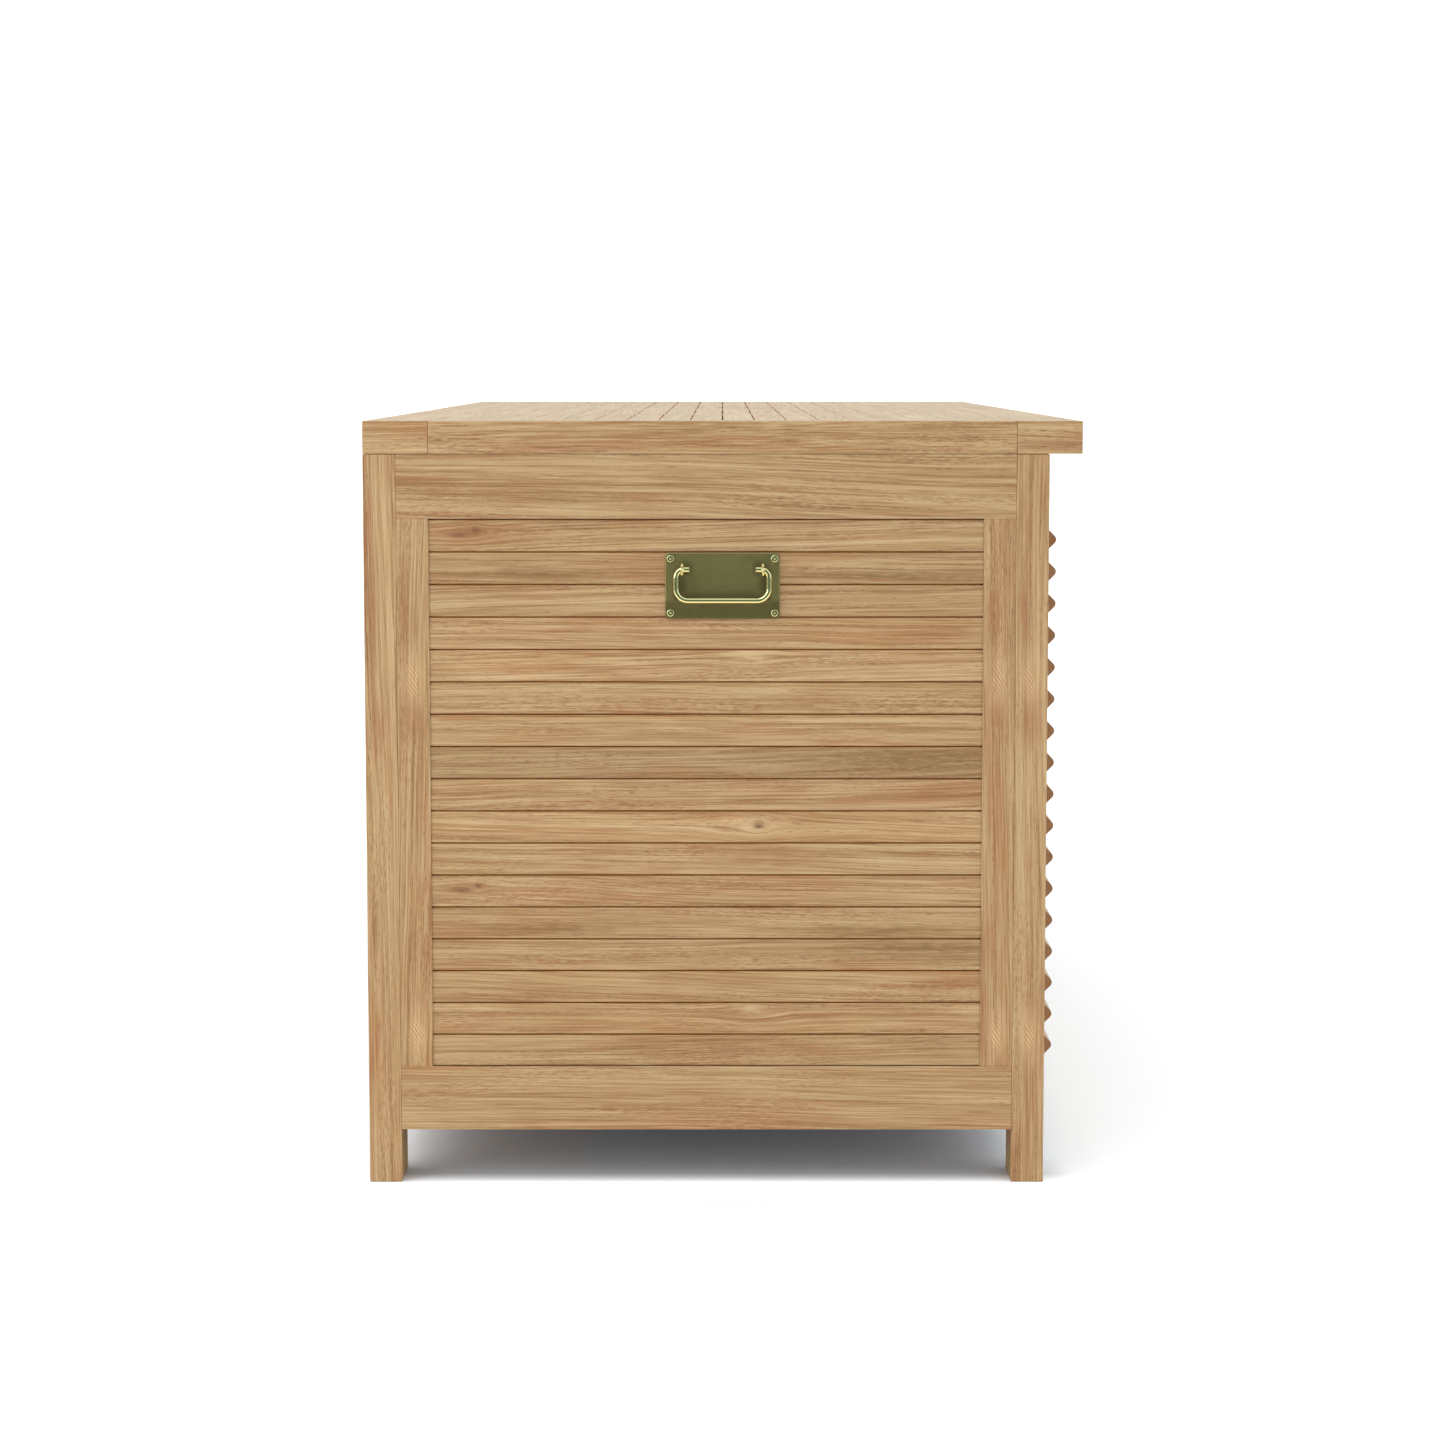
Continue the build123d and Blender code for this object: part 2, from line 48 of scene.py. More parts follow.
lid_low, lid_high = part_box("lid_front_rail")
lid_end = lid_high.x                       # half the lid's length
lid_middle = (lid_low.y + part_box("lid_back_rail")[1].y) / 2
lid_top = lid_high.z
slat_low, slat_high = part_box("end_slats_left")
slat_thickness = slat_high.x - slat_low.x
panel_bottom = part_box("end_bottom_rail_left")[1].z


# ------------------------------------------------------------------ node helpers

class Graph:
    """Short names for building a node tree; most calls return an output socket."""

    def __init__(self, tree):
        self.tree = tree

    def node(self, kind, **settings):
        """A new node, itself rather than a socket."""
        made = self.tree.nodes.new(kind)
        for key, value in settings.items():
            setattr(made, key, value)
        return made

    def feed(self, socket, value):
        if isinstance(value, bpy.types.NodeSocket):
            self.tree.links.new(value, socket)
        else:
            socket.default_value = value

    def math(self, operation, *values):
        made = self.node("ShaderNodeMath", operation=operation)
        for socket, value in zip(made.inputs, values):
            self.feed(socket, value)
        return made.outputs[0]

    def add(self, a, b):
        return self.math("ADD", a, b)

    def sub(self, a, b):
        return self.math("SUBTRACT", a, b)

    def mul(self, a, b):
        return self.math("MULTIPLY", a, b)

    def vector(self, operation, *values):
        made = self.node("ShaderNodeVectorMath", operation=operation)
        for socket, value in zip(made.inputs, values):
            self.feed(socket, value)
        return made.outputs[0]

    def split(self, value):
        made = self.node("ShaderNodeSeparateXYZ")
        self.feed(made.inputs[0], value)
        return made.outputs

    def join(self, x, y, z):
        made = self.node("ShaderNodeCombineXYZ")
        for socket, value in zip(made.inputs, (x, y, z)):
            self.feed(socket, value)
        return made.outputs[0]

    def noise(self, place, stretch, detail=2.0, rough=0.5):
        """Noise over a place in metres, with stretch cells per metre on each axis."""
        made = self.node("ShaderNodeTexNoise")
        self.feed(made.inputs["Vector"], self.vector("MULTIPLY", place, stretch))
        made.inputs["Scale"].default_value = 1.0
        made.inputs["Detail"].default_value = detail
        made.inputs["Roughness"].default_value = rough
        return made.outputs["Fac"]

    def spread(self, value, low, high, new_low=0.0, new_high=1.0, smooth=False):
        """Value stretched from low..high to new_low..new_high, and held there past the ends."""
        made = self.node("ShaderNodeMapRange", clamp=True)
        made.interpolation_type = "SMOOTHSTEP" if smooth else "LINEAR"
        for socket, given in zip(made.inputs, (value, low, high, new_low, new_high)):
            self.feed(socket, given)
        return made.outputs[0]

    def ramp(self, value, stops, interpolation="LINEAR"):
        """Grey ramp from (place, value) stops."""
        made = self.node("ShaderNodeValToRGB")
        made.color_ramp.interpolation = interpolation
        points = made.color_ramp.elements
        while len(points) < len(stops):
            points.new(0.5)
        for point, (place, grey) in zip(points, stops):
            point.position = place
            point.color = (grey, grey, grey, 1)
        self.feed(made.inputs[0], value)
        return made.outputs[0]

    def blend(self, amount, a, b, mode="MIX"):
        made = self.node("ShaderNodeMix", data_type="RGBA", blend_type=mode, clamp_factor=True)
        self.feed(made.inputs[0], amount)
        for socket, value in ((made.inputs[6], a), (made.inputs[7], b)):
            if isinstance(value, bpy.types.NodeSocket):
                self.feed(socket, value)
            else:
                socket.default_value = (*value, 1)
        return made.outputs[2]

    def random(self, value):
        """Three numbers between 0 and 1 that belong to value."""
        made = self.node("ShaderNodeTexWhiteNoise", noise_dimensions="1D")
        self.feed(made.inputs["W"], value)
        return self.split(made.outputs["Color"])


def new_group(name, inputs, outputs):
    """A shader node group with float or vector sockets."""
    tree = bpy.data.node_groups.new(name, "ShaderNodeTree")
    for label, kind in inputs:
        tree.interface.new_socket(label, in_out="INPUT", socket_type=kind)
    for label, kind in outputs:
        tree.interface.new_socket(label, in_out="OUTPUT", socket_type=kind)
    graph = Graph(tree)
    return graph, graph.node("NodeGroupInput"), graph.node("NodeGroupOutput")


FLOAT = "NodeSocketFloat"
VECTOR = "NodeSocketVector"
COLOR = "NodeSocketColor"


# ------------------------------------------------------------------------- teak

PALE = (0.455, 0.305, 0.150)
CREAM = (0.520, 0.365, 0.195)
STRAW = (0.385, 0.238, 0.102)
AMBER = (0.320, 0.170, 0.060)
RUSSET = (0.355, 0.160, 0.058)
RUSSET_DARK = (0.215, 0.085, 0.030)
LINE = (0.220, 0.090, 0.027)
PORE = (0.150, 0.060, 0.018)


def teak_group():
    """Solid teak. Place is (along, across, deep) in metres; Board makes each board its own.

    Tone lightens the board and Bend moves its growth lines sideways, as round a knot.
    """
    g, given, result = new_group(
        "teak", [("Place", VECTOR), ("Board", FLOAT), ("Tone", FLOAT), ("Bend", FLOAT)],
        [("Color", COLOR), ("Height", FLOAT), ("Roughness", FLOAT)])
    place, board = given.outputs["Place"], given.outputs["Board"]
    s = g.random(board)
    shift = g.join(g.mul(s[0], 41.0), g.mul(s[1], 17.0), g.mul(s[2], 23.0))
    own = g.vector("ADD", place, shift)
    along, across, deep = g.split(place)

    # growth rings round a pith that wanders, so lines run straight, drift or arch
    wander = g.sub(g.noise(own, (1.6, 7, 7), 2.0), 0.5)
    ripple = g.sub(g.noise(own, (13, 60, 60), 2.0), 0.5)
    jitter = g.sub(g.noise(own, (70, 240, 240), 2.0), 0.5)
    pith_across = g.mul(g.sub(s[1], 0.5), 0.26)
    pith_deep = g.add(g.mul(s[2], 0.07), 0.045)
    tilt = g.mul(g.sub(s[0], 0.5), 0.07)
    straight = g.sub(g.add(g.add(across, g.mul(wander, 0.026)), given.outputs["Bend"]), g.mul(along, tilt))
    level = g.add(straight, g.add(g.mul(ripple, 0.0022), g.mul(jitter, 0.0007)))
    off = g.sub(level, pith_across)
    down = g.add(g.sub(deep, pith_deep), g.mul(wander, 0.010))
    radius = g.math("SQRT", g.add(g.mul(off, off), g.mul(down, down)))
    uneven = g.noise(g.join(radius, board, 0.0), (130, 3.3, 1), 1.0)
    rings = g.add(g.mul(radius, 250.0), g.mul(uneven, 3.0))
    phase = g.math("FRACT", rings)
    late = g.ramp(phase, [(0.0, 0.25), (0.10, 0.0), (0.60, 0.05), (0.84, 0.75), (0.92, 1.0), (1.0, 0.25)])
    fade = g.spread(g.noise(own, (8, 70, 70), 2.0), 0.36, 0.64, smooth=True)
    lines = g.mul(late, g.mul(g.add(g.mul(fade, 0.90), 0.06), g.add(g.mul(s[1], 0.6), 0.4)))

    # bands, threads, fibres, dashes, flecks and pores, drawn out along the growth lines
    flow = g.vector("ADD", g.join(along, g.add(straight, g.mul(ripple, 0.0009)), deep), shift)
    streak = g.noise(flow, (1.4, 185, 185), 4.0, 0.70)
    thread = g.math("ABSOLUTE", g.sub(g.noise(flow, (2.8, 320, 320), 2.0, 0.55), 0.5))
    fibre = g.noise(flow, (3.6, 520, 520), 2.0, 0.60)
    dash = g.noise(g.vector("ADD", flow, (7.0, 2.0, 9.0)), (18, 960, 960), 2.0, 0.62)
    fleck = g.noise(g.vector("ADD", flow, (1.0, 8.0, 4.0)), (150, 900, 900), 1.0, 0.5)
    flecked = g.noise(g.vector("ADD", own, (3.0, 6.0, 2.0)), (6, 45, 45), 2.0)
    flecked = g.spread(flecked, 0.46, 0.66, smooth=True)
    pore_seed = g.noise(flow, (120, 1100, 1100), 1.0, 0.5)
    pores = g.mul(g.spread(pore_seed, 0.60, 0.70), g.spread(g.add(late, g.mul(streak, 0.6)), 0.2, 0.9))

    # broad patches of warmer and paler wood
    patch = g.spread(g.noise(own, (2.6, 24, 24), 2.0), 0.36, 0.66, smooth=True)
    blush = g.noise(g.vector("ADD", own, (5.0, 3.0, 1.0)), (5.5, 36, 36), 3.0, 0.6)
    blush = g.spread(blush, 0.48, 0.68, smooth=True)

    color = g.blend(patch, PALE, STRAW)
    color = g.blend(g.mul(g.spread(streak, 0.44, 0.62), 0.72), color, AMBER)
    color = g.blend(g.mul(g.spread(streak, 0.44, 0.32), 0.42), color, CREAM)
    color = g.blend(g.mul(blush, 0.72), color, RUSSET)
    color = g.blend(g.mul(lines, 0.78), color, LINE)
    threads = g.mul(g.spread(thread, 0.020, 0.0), g.spread(streak, 0.35, 0.60))
    color = g.blend(g.mul(threads, 0.50), color, LINE)
    color = g.blend(g.mul(g.spread(fibre, 0.50, 0.66), 0.50), color, LINE)
    color = g.blend(g.mul(g.spread(fibre, 0.49, 0.35), 0.50), color, PALE)
    color = g.blend(g.mul(g.spread(dash, 0.53, 0.66), 0.45), color, LINE)
    color = g.blend(g.mul(g.spread(dash, 0.47, 0.34), 0.50), color, CREAM)
    color = g.blend(g.mul(g.mul(g.spread(fleck, 0.52, 0.66), flecked), 0.42), color, RUSSET_DARK)
    color = g.blend(g.mul(g.mul(g.spread(fleck, 0.48, 0.34), flecked), 0.42), color, PALE)
    color = g.blend(g.mul(pores, 0.50), color, PORE)
    light = g.add(g.add(g.mul(s[2], 0.06), 0.870), given.outputs["Tone"])
    color = g.blend(1.0, color, g.join(light, light, g.sub(g.mul(light, 1.15), 0.15)), "MULTIPLY")

    height = g.sub(g.sub(g.mul(fibre, 0.35), g.mul(pores, 0.75)), g.mul(lines, 0.25))
    rough = g.add(g.mul(fibre, 0.14), g.sub(0.40, g.mul(lines, 0.08)))
    g.feed(result.inputs["Color"], color)
    g.feed(result.inputs["Height"], height)
    g.feed(result.inputs["Roughness"], rough)
    return g.tree


def mark_group():
    """A soft spot on a board: Near falls from 1 at its centre, Bend parts the growth lines."""
    g, given, result = new_group(
        "mark", [("Along", FLOAT), ("Across", FLOAT), ("Length", FLOAT), ("Height", FLOAT)],
        [("Near", FLOAT), ("Bend", FLOAT), ("Ripple", FLOAT)])
    u = g.math("DIVIDE", given.outputs["Along"], given.outputs["Length"])
    v = g.math("DIVIDE", given.outputs["Across"], given.outputs["Height"])
    far = g.add(g.mul(u, u), g.mul(v, v))
    near = g.math("EXPONENT", g.mul(far, -1.0))
    wide = g.math("EXPONENT", g.mul(far, -0.16))
    slant = g.sub(g.mul(given.outputs["Along"], 0.62), given.outputs["Across"])
    wave = g.math("SINE", g.add(g.mul(slant, 1900.0), g.mul(g.mul(v, v), 0.9)))
    g.feed(result.inputs["Near"], near)
    g.feed(result.inputs["Bend"], g.mul(g.mul(given.outputs["Across"], wide), -0.80))
    g.feed(result.inputs["Ripple"], g.mul(g.spread(wave, -0.4, 0.7), near))
    return g.tree


TEAK = teak_group()
MARK = mark_group()

# which object axes run (along, across, deep) for boards that run each way
RUNS = {
    "x": (0, 1, 2), "x_upright": (0, 2, 1),
    "y": (1, 2, 0), "y_flat": (1, 0, 2),
    "z": (2, 1, 0), "z_wide": (2, 0, 1),
}

# what a mark does to the wood: (colour, strength at its centre, how sharp its edge is, ripples)
MARKS = {
    "knot": ((0.100, 0.040, 0.015), 1.0, 0.9, 0.0),
    "eye": ((0.520, 0.370, 0.200), 0.65, 1.0, 0.0),
    "smear": ((0.250, 0.100, 0.036), 0.62, 1.0, 0.0),
    "olive": ((0.180, 0.095, 0.028), 0.85, 0.8, 0.0),
    "flame": ((0.560, 0.395, 0.210), 0.78, 0.9, 1.0),
}

# painted light: the warm red of light bounced about in the gaps between slats
PAINTED_GAP_BOUNCE = (0.620, 0.235, 0.060)
END_GRAIN = (0.270, 0.110, 0.036)


def teak_material(name, run, board, field=None, tone=0.0, ends=None, marks=(), face=None):
    """Teak for a board, or for a field of boards side by side; board is a seed.

    run says which way the grain goes. field is (axis, start, pitch, tones) where boards
    repeat, and tones says how light each of them is. ends is "flat" for board ends that
    show growth lines lying flat, or (low, high) for dark end grain there. Each mark is
    (kind, place along, place across, length, height), and in a field stays on one board.
    face is (axis, place of the show face): the wood in the gaps behind it is painted redder, as painted
    warm light bounced about in the gaps.
    """
    material = bpy.data.materials.new(name)
    material.use_nodes = True
    material.node_tree.nodes.clear()
    g = Graph(material.node_tree)
    here = g.node("ShaderNodeTexCoord").outputs["Object"]
    axes = g.split(here)
    along, across, deep = (axes[i] for i in RUNS[run])
    straight = g.join(along, across, deep)
    place = straight
    seed = float(board)
    wood = g.node("ShaderNodeGroup", node_tree=TEAK)
    g.feed(wood.inputs["Tone"], tone)
    if field:
        axis, start, pitch, tones = field
        count = g.math("FLOOR", g.math("DIVIDE", g.sub(axes[axis], start), pitch))
        seed = g.add(g.mul(count, 1.37), float(board))
        if tones:
            step = 1.0 / len(tones)
            stops = [(step * i, 0.5 + value) for i, value in enumerate(tones)]
            picked = g.ramp(g.mul(g.add(count, 0.5), step), stops, "CONSTANT")
            g.feed(wood.inputs["Tone"], g.sub(picked, 0.5))
    if ends == "flat":
        turned = g.join(*(axes[i] for i in RUNS["y"]))
        at_end = g.spread(g.math("ABSOLUTE", axes[0]), lid_end - 0.5 * MM, lid_end - 0.4 * MM)
        mixed = g.node("ShaderNodeMix", data_type="VECTOR")
        g.feed(mixed.inputs[0], at_end)
        g.feed(mixed.inputs[4], straight)
        g.feed(mixed.inputs[5], turned)
        place = mixed.outputs[1]
    g.feed(wood.inputs["Place"], place)
    g.feed(wood.inputs["Board"], seed)
    color = wood.outputs["Color"]
    bends = []
    for kind, at_along, at_across, length, high in marks:
        paint, strength, sharp, rippled = MARKS[kind]
        mark = g.node("ShaderNodeGroup", node_tree=MARK)
        g.feed(mark.inputs["Along"], g.sub(along, at_along))
        g.feed(mark.inputs["Across"], g.sub(across, at_across))
        g.feed(mark.inputs["Length"], length)
        g.feed(mark.inputs["Height"], high)
        near = mark.outputs["Near"]
        if field:
            its_board = (at_across - start) // pitch
            near = g.mul(near, g.math("COMPARE", count, its_board, 0.5))
        if kind in ("knot", "eye"):
            bends.append(g.mul(mark.outputs["Bend"], g.math("GREATER_THAN", near, 0.0)))
        grain = g.spread(g.noise(straight, (55, 420, 420), 2.0, 0.6), 0.36, 0.60)
        core = g.math("POWER", near, sharp)
        amount = g.mul(g.mul(core, g.add(g.mul(grain, 0.6), 0.4)), strength)
        if rippled:
            color = g.blend(g.mul(mark.outputs["Ripple"], 0.60), color, RUSSET)
            amount = g.mul(amount, g.sub(1.0, g.mul(mark.outputs["Ripple"], rippled)))
        color = g.blend(amount, color, paint)
    if ends and ends != "flat":
        low, high = ends
        middle = (low + high) / 2
        reach = (high - low) / 2
        cut = g.spread(g.math("ABSOLUTE", g.sub(along, middle)), reach - 0.5 * MM, reach - 0.3 * MM)
        color = g.blend(g.mul(cut, 0.60), color, END_GRAIN)
    # painted light: the gap sides are tinted redder, standing in for warm light bounced about in the gaps
    if face:
        axis, front = face
        out = g.math("ABSOLUTE", axes[axis])
        back = abs(front) - slat_thickness
        behind = g.spread(out, abs(front) - 0.5 * MM, abs(front) - 1.3 * MM)
        within = g.spread(out, back + 0.3 * MM, back + 0.9 * MM)
        color = g.blend(g.mul(g.mul(behind, within), 0.85), color, PAINTED_GAP_BOUNCE)
    if bends:
        bend = bends[0]
        for more in bends[1:]:
            bend = g.add(bend, more)
        g.feed(wood.inputs["Bend"], bend)
    bump = g.node("ShaderNodeBump")
    bump.inputs["Strength"].default_value = 0.55
    bump.inputs["Distance"].default_value = 0.00035
    g.feed(bump.inputs["Height"], wood.outputs["Height"])
    shader = g.node("ShaderNodeBsdfPrincipled")
    shader.inputs["IOR"].default_value = 1.45
    g.feed(shader.inputs["Base Color"], color)
    g.feed(shader.inputs["Roughness"], wood.outputs["Roughness"])
    g.feed(shader.inputs["Normal"], bump.outputs[0])
    output = g.node("ShaderNodeOutputMaterial")
    g.feed(output.inputs["Surface"], shader.outputs[0])
    return material


# ------------------------------------------------------------------------ brass

plate_low, plate_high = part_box("handle_plate_left")
bail_low, bail_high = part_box("handle_bail_left")
handle_middle = (bail_low.y + bail_high.y) / 2
grip_bottom = bail_low.z + 2.5 * MM
pivot_height = bail_high.z - 2.5 * MM
grip_half = (bail_high.y - bail_low.y) / 2 - 2.5 * MM
EYE_OFFSET = 37 * MM                       # from the middle of the handle to each eye


def grip_shade_and_low_dark(g, here):
    """How much darker a handle plate is painted: painted shade round the eyes and where the hanging grip
    shades it, and darker below the grip.
    """
    axes = g.split(here)
    beside = g.math("ABSOLUTE", g.sub(axes[1], handle_middle))
    inside = g.spread(axes[2], pivot_height + 3 * MM, pivot_height - 3 * MM, smooth=True)
    above = g.spread(axes[2], grip_bottom - 3 * MM, grip_bottom + 1 * MM, smooth=True)
    inner_side = g.mul(g.spread(beside, grip_half - 14 * MM, grip_half - 3 * MM, smooth=True),
                       g.spread(beside, grip_half + 5 * MM, grip_half - 1 * MM, smooth=True))
    rung = g.mul(g.spread(axes[2], grip_bottom + 10 * MM, grip_bottom + 2 * MM, smooth=True),
                 g.spread(beside, grip_half + 5 * MM, grip_half - 3 * MM, smooth=True))
    shade_inside_grip = g.mul(g.mul(g.math("MAXIMUM", inner_side, rung), inside), above)
    aside = g.sub(beside, EYE_OFFSET - 2 * MM)
    up = g.sub(axes[2], pivot_height)
    eye = g.math("SQRT", g.add(g.mul(aside, aside), g.mul(up, up)))
    shade_round_eye = g.spread(eye, 11 * MM, 3 * MM, smooth=True)
    dark_below_grip = g.mul(g.spread(axes[2], grip_bottom + 2 * MM, grip_bottom - 4 * MM, smooth=True), 0.58)
    return g.math("MAXIMUM", g.math("MAXIMUM", shade_inside_grip, g.mul(shade_round_eye, 0.85)), dark_below_grip)


def metal_material(name, color, rough, mottle, darkening=None):
    """Brass with a slightly uneven colour and polish; darkening says where it is painted darker, such as
    painted shade.
    """
    material = bpy.data.materials.new(name)
    material.use_nodes = True
    material.node_tree.nodes.clear()
    g = Graph(material.node_tree)
    here = g.node("ShaderNodeTexCoord").outputs["Object"]
    cloud = g.noise(here, (90, 90, 90), 4.0, 0.6)
    speck = g.noise(here, (1200, 1200, 1200), 2.0, 0.5)
    dark = tuple(c * (1 - mottle) for c in color)
    light = tuple(min(1.0, c * (1 + mottle)) for c in color)
    shader = g.node("ShaderNodeBsdfPrincipled")
    shader.inputs["Metallic"].default_value = 1.0
    tint = g.blend(g.spread(cloud, 0.3, 0.7), dark, light)
    if darkening:
        # painted shade: the plate is painted darker round the eyes and inside the grip, and darker below
        # the grip
        tint = g.blend(g.mul(darkening(g, here), 0.62), tint, tuple(c * 0.22 for c in color))
    g.feed(shader.inputs["Base Color"], tint)
    g.feed(shader.inputs["Roughness"], g.add(g.mul(cloud, 0.25 * rough), 0.87 * rough))
    bump = g.node("ShaderNodeBump")
    bump.inputs["Strength"].default_value = 0.10
    bump.inputs["Distance"].default_value = 0.0001
    g.feed(bump.inputs["Height"], speck)
    g.feed(shader.inputs["Normal"], bump.outputs[0])
    output = g.node("ShaderNodeOutputMaterial")
    g.feed(output.inputs["Surface"], shader.outputs[0])
    return material


ANTIQUE = metal_material("antique_brass", (0.352, 0.309, 0.154), 0.56, 0.05, darkening=grip_shade_and_low_dark)
POLISHED = metal_material("polished_brass", (0.90, 0.83, 0.50), 0.07, 0.04)
SATIN = metal_material("satin_brass", (0.72, 0.56, 0.27), 0.30, 0.10)


# ------------------------------------------------------------- dress the CAD nodes

def ease(piece, width):
    """Weld the imported faces and round their sharp edges a little."""
    weld = piece.modifiers.new("weld", "WELD")
    weld.merge_threshold = 0.00001
    bevel = piece.modifiers.new("ease", "BEVEL")
    bevel.width = width
    bevel.segments = 2
    bevel.limit_method = "ANGLE"
    bevel.angle_limit = radians(35)


def dress(node, material, width=0.0):
    """Give a CAD node its material and eased edges."""
    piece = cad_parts[node]
    piece.data.materials.clear()
    piece.data.materials.append(material)
    if width:
        ease(piece, width)


FRAME_EASE = 0.7 * MM
SLAT_EASE = 0.25 * MM

BOARD_RUNS = {
    "leg_": "z", "end_stile": "z", "front_muntin": "z_wide", "back_muntin": "z_wide",
    "end_top_rail": "y", "end_bottom_rail": "y", "lid_end_rail": "y_flat", "lid_cross_rail": "y_flat",
    "front_top_rail": "x_upright", "front_bottom_rail": "x_upright",
    "back_top_rail": "x_upright", "back_bottom_rail": "x_upright",
    "lid_front_rail": "x", "lid_back_rail": "x",
}
FLAME_HEIGHT = 472 * MM                    # the pale rippled figure on the uprights of the ends
FLAME_REPEAT = 330 * MM                    # and how far below it comes again


def upright_marks(middle):
    """The marks of a leg or stile whose middle is at this Y: figure, and smears round it."""
    return [("flame", FLAME_HEIGHT, middle, 24 * MM, 7 * MM),
            ("smear", FLAME_HEIGHT - 38 * MM, middle + 2 * MM, 22 * MM, 9 * MM),
            ("smear", FLAME_HEIGHT + 62 * MM, middle + 7 * MM, 40 * MM, 5 * MM),
            ("flame", FLAME_HEIGHT - FLAME_REPEAT, middle, 20 * MM, 7 * MM)]


boards = sorted(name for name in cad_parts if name.startswith(tuple(BOARD_RUNS)))
for number, node in enumerate(boards):
    run = next(way for start, way in BOARD_RUNS.items() if node.startswith(start))
    marks = []
    if node.startswith(("leg_", "end_stile")):
        low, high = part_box(node)
        marks = upright_marks((low.y + high.y) / 2)
    if node.startswith("leg_back"):
        marks = [mark for mark in marks if mark[0] == "smear"]
    ends = "flat"
    if run != "x":
        low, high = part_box(node)
        ends = (low[RUNS[run][0]], high[RUNS[run][0]])
    teak = teak_material("teak_" + node, run, 3.1 + number * 2.3, ends=ends, marks=marks)
    dress(node, teak, FRAME_EASE)

# how light each end slat is beside its neighbours, from the bottom one up
END_TONES = [-0.02, 0.02, 0.0, -0.04, -0.02, 0.0, 0.03, 0.09, 0.01, -0.12, -0.01, -0.02, 0.04, 0.07, -0.02,
             -0.03, -0.02]
LOUVRE_TONE = -0.04                        # the blades are a little darker
panel_field = (2, panel_bottom, SLAT_PITCH, None)
end_field = (2, panel_bottom, SLAT_PITCH, END_TONES)
lid_field = (1, lid_low.y + LID_RAIL, SLAT_PITCH, None)


def slat_middle(number):
    """Height of the middle of an end slat; 1 is the top one."""
    return panel_bottom + (SLAT_COUNT - number + 0.5) * SLAT_PITCH


END_MARKS = [
    ("eye", -30 * MM, slat_middle(10) + 1 * MM, 20 * MM, 6 * MM),
    ("knot", -39 * MM, slat_middle(10) + 1 * MM, 5 * MM, 2.5 * MM),
    ("smear", -50 * MM, slat_middle(11), 55 * MM, 8 * MM),
    ("olive", -170 * MM, slat_middle(8) + 3 * MM, 110 * MM, 11 * MM),
    ("olive", -190 * MM, slat_middle(14) + 6 * MM, 90 * MM, 8 * MM),
]
for number in (1, 12):
    END_MARKS.append(("knot", 236 * MM, slat_middle(number) + 1 * MM, 8 * MM, 2.6 * MM))
    END_MARKS.append(("knot", 222 * MM, slat_middle(number) + 5 * MM, 3 * MM, 2.4 * MM))
    END_MARKS.append(("smear", 232 * MM, slat_middle(number) + 2 * MM, 26 * MM, 6 * MM))
for number in (2, 13):
    END_MARKS.append(("olive", 160 * MM, slat_middle(number) - 5 * MM, 70 * MM, 4.5 * MM))
    END_MARKS.append(("olive", -150 * MM, slat_middle(number) - 7 * MM, 90 * MM, 4.5 * MM))
for number in (4, 9, 15):
    END_MARKS.append(("smear", -208 * MM, slat_middle(number) + 3 * MM, 30 * MM, 8 * MM))
for number in (5, 16):
    END_MARKS.append(("eye", -34 * MM, slat_middle(number) + 9 * MM, 14 * MM, 5 * MM))
for number in (6, 17):
    END_MARKS.append(("smear", -90 * MM, slat_middle(number) + 1 * MM, 30 * MM, 6 * MM))
end_face = (0, slat_low.x)
back_face = (1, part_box("back_slats_bay_1")[1].y)
lid_face = (2, lid_top)
for side, board in (("left", 101), ("right", 151)):
    node = f"end_slats_{side}"
    teak = teak_material("teak_" + node, "y", board, end_field, marks=END_MARKS, face=end_face)
    dress(node, teak, SLAT_EASE)
for bay in range(1, 5):
    node = f"back_slats_bay_{bay}"
    teak = teak_material("teak_" + node, "x_upright", 200 + 30 * bay, panel_field, face=back_face)
    dress(node, teak, SLAT_EASE)
    node = f"lid_slats_bay_{bay}"
    teak = teak_material("teak_" + node, "x", 400 + 30 * bay, lid_field, face=lid_face)
    dress(node, teak, SLAT_EASE)
    node = f"front_louvres_bay_{bay}"
    low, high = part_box(node)
    teak = teak_material("teak_" + node, "x_upright", 600 + 30 * bay, panel_field, LOUVRE_TONE,
                         ends=(low.x, high.x))
    dress(node, teak, SLAT_EASE)
dress("floor_bearers", teak_material("teak_floor_bearers", "y_flat", 801), FRAME_EASE)
dress("floor_slats", teak_material("teak_floor_slats", "x", 811), FRAME_EASE)
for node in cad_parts:
    if node.startswith(("hinge_", "stay_")):
        dress(node, SATIN)
    if node.startswith("handle_plate"):
        dress(node, ANTIQUE)
    elif node.startswith("handle_"):
        dress(node, POLISHED)


# ------------------------------------------------------------- crowns of the screws

